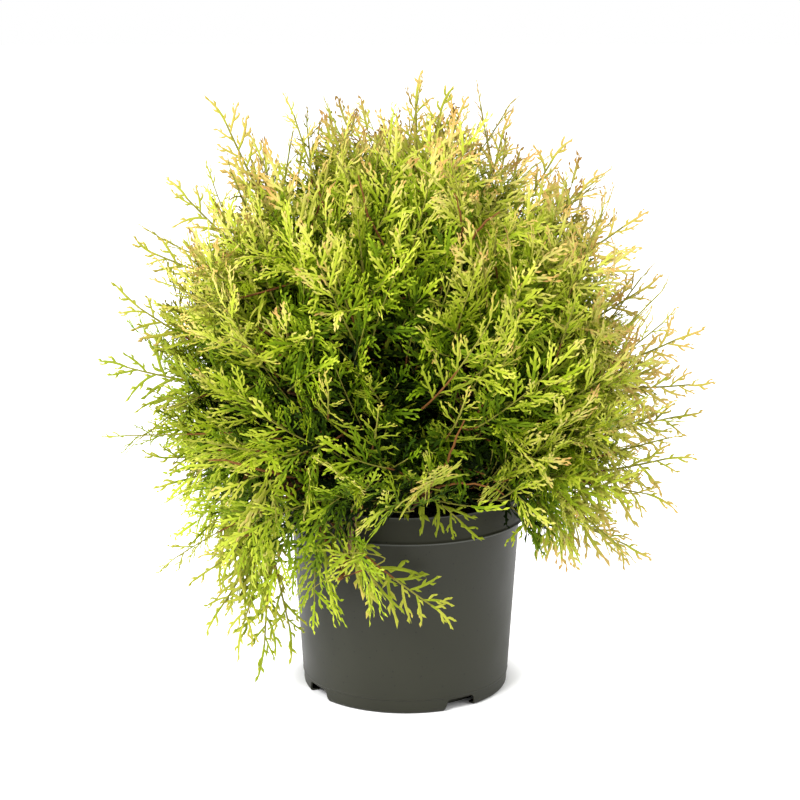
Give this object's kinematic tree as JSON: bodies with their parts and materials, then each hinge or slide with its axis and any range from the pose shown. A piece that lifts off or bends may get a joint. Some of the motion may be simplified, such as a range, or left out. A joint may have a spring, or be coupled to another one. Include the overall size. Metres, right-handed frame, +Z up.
{
  "type": "potted globe conifer",
  "caption": "Golden globe-shaped conifer in a round plastic nursery pot, with flattened scale-leaved sprays and shoots that weep over the rim.",
  "frame": {"origin": "in the plane that the pot's foot stands on, on the pot's axis, which is within a few millimetres of the middle of the whole plant seen from above", "axes": "+Z up along the pot's axis, -Y the front, which shows the weeping shoots at its left, +X to the right of someone facing the front"},
  "size_m": [0.4659, 0.4489, 0.476],
  "materials": {
    "pot": "dark grey, matte, finely grained",
    "soil": "moist peat, crumbly",
    "bark": "reddish brown, fibrous",
    "foliage_skirt": "green scale leaves, satin",
    "foliage_middle": "yellow-green scale leaves, satin",
    "foliage_upper": "lime scale leaves, satin",
    "foliage_top": "golden scale leaves, satin",
    "foliage_weeping": "yellow-green scale leaves, satin"
  },
  "bodies": {
    "root": {"pot": "pot", "soil": "soil", "trunk": "bark", "bough_skirt_1": "bark", "bough_skirt_2": "bark", "bough_skirt_3": "bark", "bough_skirt_4": "bark", "bough_skirt_5": "bark", "bough_skirt_6": "bark", "bough_skirt_7": "bark", "bough_middle_1": "bark", "bough_middle_2": "bark", "bough_middle_3": "bark", "bough_middle_4": "bark", "bough_middle_5": "bark", "bough_middle_6": "bark", "bough_middle_7": "bark", "bough_upper_1": "bark", "bough_upper_2": "bark", "bough_upper_3": "bark", "bough_upper_4": "bark", "bough_upper_5": "bark", "bough_weeping_1": "bark", "bough_weeping_2": "bark", "foliage_skirt_1": "foliage_skirt", "foliage_skirt_2": "foliage_skirt", "foliage_skirt_3": "foliage_skirt", "foliage_skirt_4": "foliage_skirt", "foliage_skirt_5": "foliage_skirt", "foliage_skirt_6": "foliage_skirt", "foliage_skirt_7": "foliage_skirt", "foliage_middle_1": "foliage_middle", "foliage_middle_2": "foliage_middle", "foliage_middle_3": "foliage_middle", "foliage_middle_4": "foliage_middle", "foliage_middle_5": "foliage_middle", "foliage_middle_6": "foliage_middle", "foliage_middle_7": "foliage_middle", "foliage_upper_1": "foliage_upper", "foliage_upper_2": "foliage_upper", "foliage_upper_3": "foliage_upper", "foliage_upper_4": "foliage_upper", "foliage_upper_5": "foliage_upper", "foliage_weeping_1": "foliage_weeping", "foliage_weeping_2": "foliage_weeping", "foliage_top": "foliage_top"}
  },
  "joints": []
}
